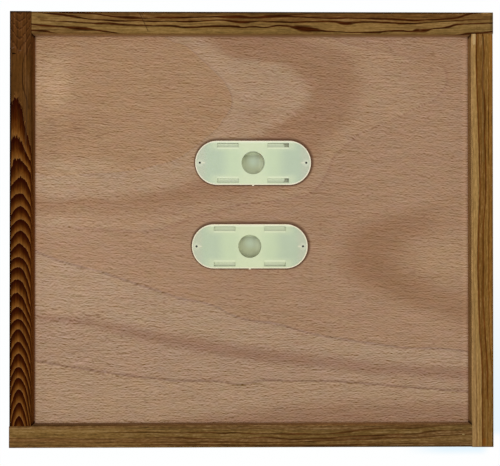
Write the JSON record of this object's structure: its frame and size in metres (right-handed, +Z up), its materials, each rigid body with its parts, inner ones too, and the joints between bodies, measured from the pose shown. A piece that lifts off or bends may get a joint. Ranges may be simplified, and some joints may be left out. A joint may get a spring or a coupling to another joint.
{
  "type": "hive inner cover",
  "caption": "Oblong hive inner cover: grooved softwood rails nailed round a plywood panel, with two drop-in plastic bee escapes whose spring housings slide in the cover plates.",
  "frame": {"origin": "middle of the underside of the rails", "axes": "+X along the board's long side, +Y towards the back rail, +Z up through the panel"},
  "size_m": [0.463, 0.417, 0.022],
  "materials": {
    "cedar_rail": "planed, unvarnished red cedar, dark grain",
    "plywood": "sanded hardwood-faced plywood, pinkish tan",
    "escape_plastic": "pale green translucent moulding, satin",
    "spring_bronze": "rolled phosphor bronze strip, lightly dulled",
    "nail_steel": "bright wire nail"
  },
  "bodies": {
    "board": {"front_rail": "cedar_rail", "right_rail": "cedar_rail", "back_rail": "cedar_rail", "left_rail": "cedar_rail", "nail_front_left_low": "nail_steel", "nail_front_left_high": "nail_steel", "nail_front_right_low": "nail_steel", "nail_front_right_high": "nail_steel", "nail_back_right_low": "nail_steel", "nail_back_right_high": "nail_steel", "nail_back_left_low": "nail_steel", "nail_back_left_high": "nail_steel", "plywood_panel": "plywood"},
    "back_cover": {"back_cover_plate": "escape_plastic"},
    "back_housing": {"back_spring_housing": "escape_plastic"},
    "back_leaf_left_near": {"back_spring_left_near": "spring_bronze"},
    "back_leaf_left_far": {"back_spring_left_far": "spring_bronze"},
    "back_leaf_right_near": {"back_spring_right_near": "spring_bronze"},
    "back_leaf_right_far": {"back_spring_right_far": "spring_bronze"},
    "front_cover": {"front_cover_plate": "escape_plastic"},
    "front_housing": {"front_spring_housing": "escape_plastic"},
    "front_leaf_left_near": {"front_spring_left_near": "spring_bronze"},
    "front_leaf_left_far": {"front_spring_left_far": "spring_bronze"},
    "front_leaf_right_near": {"front_spring_right_near": "spring_bronze"},
    "front_leaf_right_far": {"front_spring_right_far": "spring_bronze"}
  },
  "joints": [
    {"name": "back_escape_lift", "type": "slide", "parent": "board", "child": "back_cover", "axis": [0, 0, 1], "range_m": [0, 0.05]},
    {"name": "back_housing_slide", "type": "slide", "parent": "back_cover", "child": "back_housing", "axis": [1, 0, 0], "range_m": [-0.0013, 0.0049]},
    {"name": "back_leaf_left_near_flex", "type": "hinge", "parent": "back_housing", "child": "back_leaf_left_near", "pos_m": [-0.0168, 0.0536, 0.00775], "axis": [0, 0, 1], "range_deg": [-2, 12], "stiffness_Nm_per_rad": 0.0028},
    {"name": "back_leaf_left_far_flex", "type": "hinge", "parent": "back_housing", "child": "back_leaf_left_far", "pos_m": [-0.0168, 0.0756, 0.00775], "axis": [0, 0, -1], "range_deg": [-2, 12], "stiffness_Nm_per_rad": 0.0028},
    {"name": "back_leaf_right_near_flex", "type": "hinge", "parent": "back_housing", "child": "back_leaf_right_near", "pos_m": [0.0092, 0.0536, 0.00775], "axis": [0, 0, -1], "range_deg": [-2, 12], "stiffness_Nm_per_rad": 0.0028},
    {"name": "back_leaf_right_far_flex", "type": "hinge", "parent": "back_housing", "child": "back_leaf_right_far", "pos_m": [0.0092, 0.0756, 0.00775], "axis": [0, 0, 1], "range_deg": [-2, 12], "stiffness_Nm_per_rad": 0.0028},
    {"name": "front_escape_lift", "type": "slide", "parent": "board", "child": "front_cover", "axis": [0, 0, 1], "range_m": [0, 0.05]},
    {"name": "front_housing_slide", "type": "slide", "parent": "front_cover", "child": "front_housing", "axis": [1, 0, 0], "range_m": [-0.0062, 0]},
    {"name": "front_leaf_left_near_flex", "type": "hinge", "parent": "front_housing", "child": "front_leaf_left_near", "pos_m": [-0.0151, -0.0275, 0.00775], "axis": [0, 0, 1], "range_deg": [-2, 12], "stiffness_Nm_per_rad": 0.0028},
    {"name": "front_leaf_left_far_flex", "type": "hinge", "parent": "front_housing", "child": "front_leaf_left_far", "pos_m": [-0.0151, -0.0055, 0.00775], "axis": [0, 0, -1], "range_deg": [-2, 12], "stiffness_Nm_per_rad": 0.0028},
    {"name": "front_leaf_right_near_flex", "type": "hinge", "parent": "front_housing", "child": "front_leaf_right_near", "pos_m": [0.0109, -0.0275, 0.00775], "axis": [0, 0, -1], "range_deg": [-2, 12], "stiffness_Nm_per_rad": 0.0028},
    {"name": "front_leaf_right_far_flex", "type": "hinge", "parent": "front_housing", "child": "front_leaf_right_far", "pos_m": [0.0109, -0.0055, 0.00775], "axis": [0, 0, 1], "range_deg": [-2, 12], "stiffness_Nm_per_rad": 0.0028}
  ]
}
